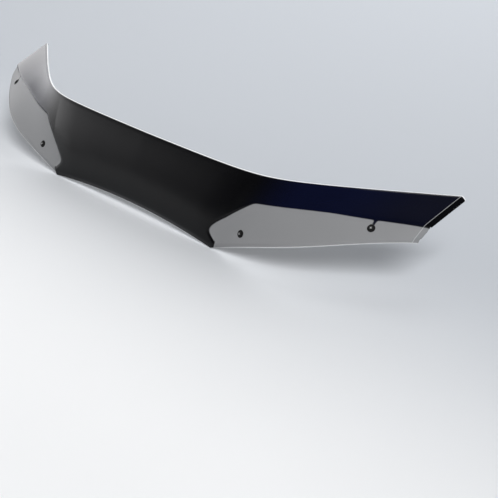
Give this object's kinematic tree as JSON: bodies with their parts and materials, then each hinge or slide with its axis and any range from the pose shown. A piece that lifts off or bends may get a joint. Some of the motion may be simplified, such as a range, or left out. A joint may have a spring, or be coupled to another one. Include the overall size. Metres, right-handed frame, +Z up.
{
  "type": "hood bug deflector",
  "caption": "Dark glossy wrap-around shield for a car bonnet's front edge, with swept wings, set-back mounting fields, clamping clips and rubber buffers.",
  "frame": {"origin": "centre of the middle buffer's foot, where it rests on the bonnet", "axes": "+X across the car, to the right seen from its front; +Y towards the rear of the car; +Z up"},
  "size_m": [1.3892, 0.278, 0.1621],
  "materials": {
    "shield": "gloss black moulded acrylic, satin grey on the two mounting fields",
    "screw": "black coated steel",
    "washer": "black nylon",
    "spacer": "soft black rubber",
    "clip": "dark coated spring steel",
    "nut": "zinc plated steel",
    "buffer": "black rubber"
  },
  "bodies": {
    "root": {"shield": "shield", "screw_1": "screw", "screw_2": "screw", "screw_3": "screw", "screw_4": "screw", "washer_1": "washer", "washer_2": "washer", "washer_3": "washer", "washer_4": "washer", "spacer_1": "spacer", "spacer_2": "spacer", "spacer_3": "spacer", "spacer_4": "spacer", "clip_1": "clip", "clip_2": "clip", "clip_3": "clip", "clip_4": "clip", "nut_1": "nut", "nut_2": "nut", "nut_3": "nut", "nut_4": "nut", "buffer_1": "buffer", "buffer_2": "buffer", "buffer_3": "buffer", "buffer_4": "buffer", "buffer_5": "buffer", "buffer_6": "buffer", "buffer_7": "buffer", "buffer_8": "buffer", "buffer_9": "buffer"}
  },
  "joints": []
}
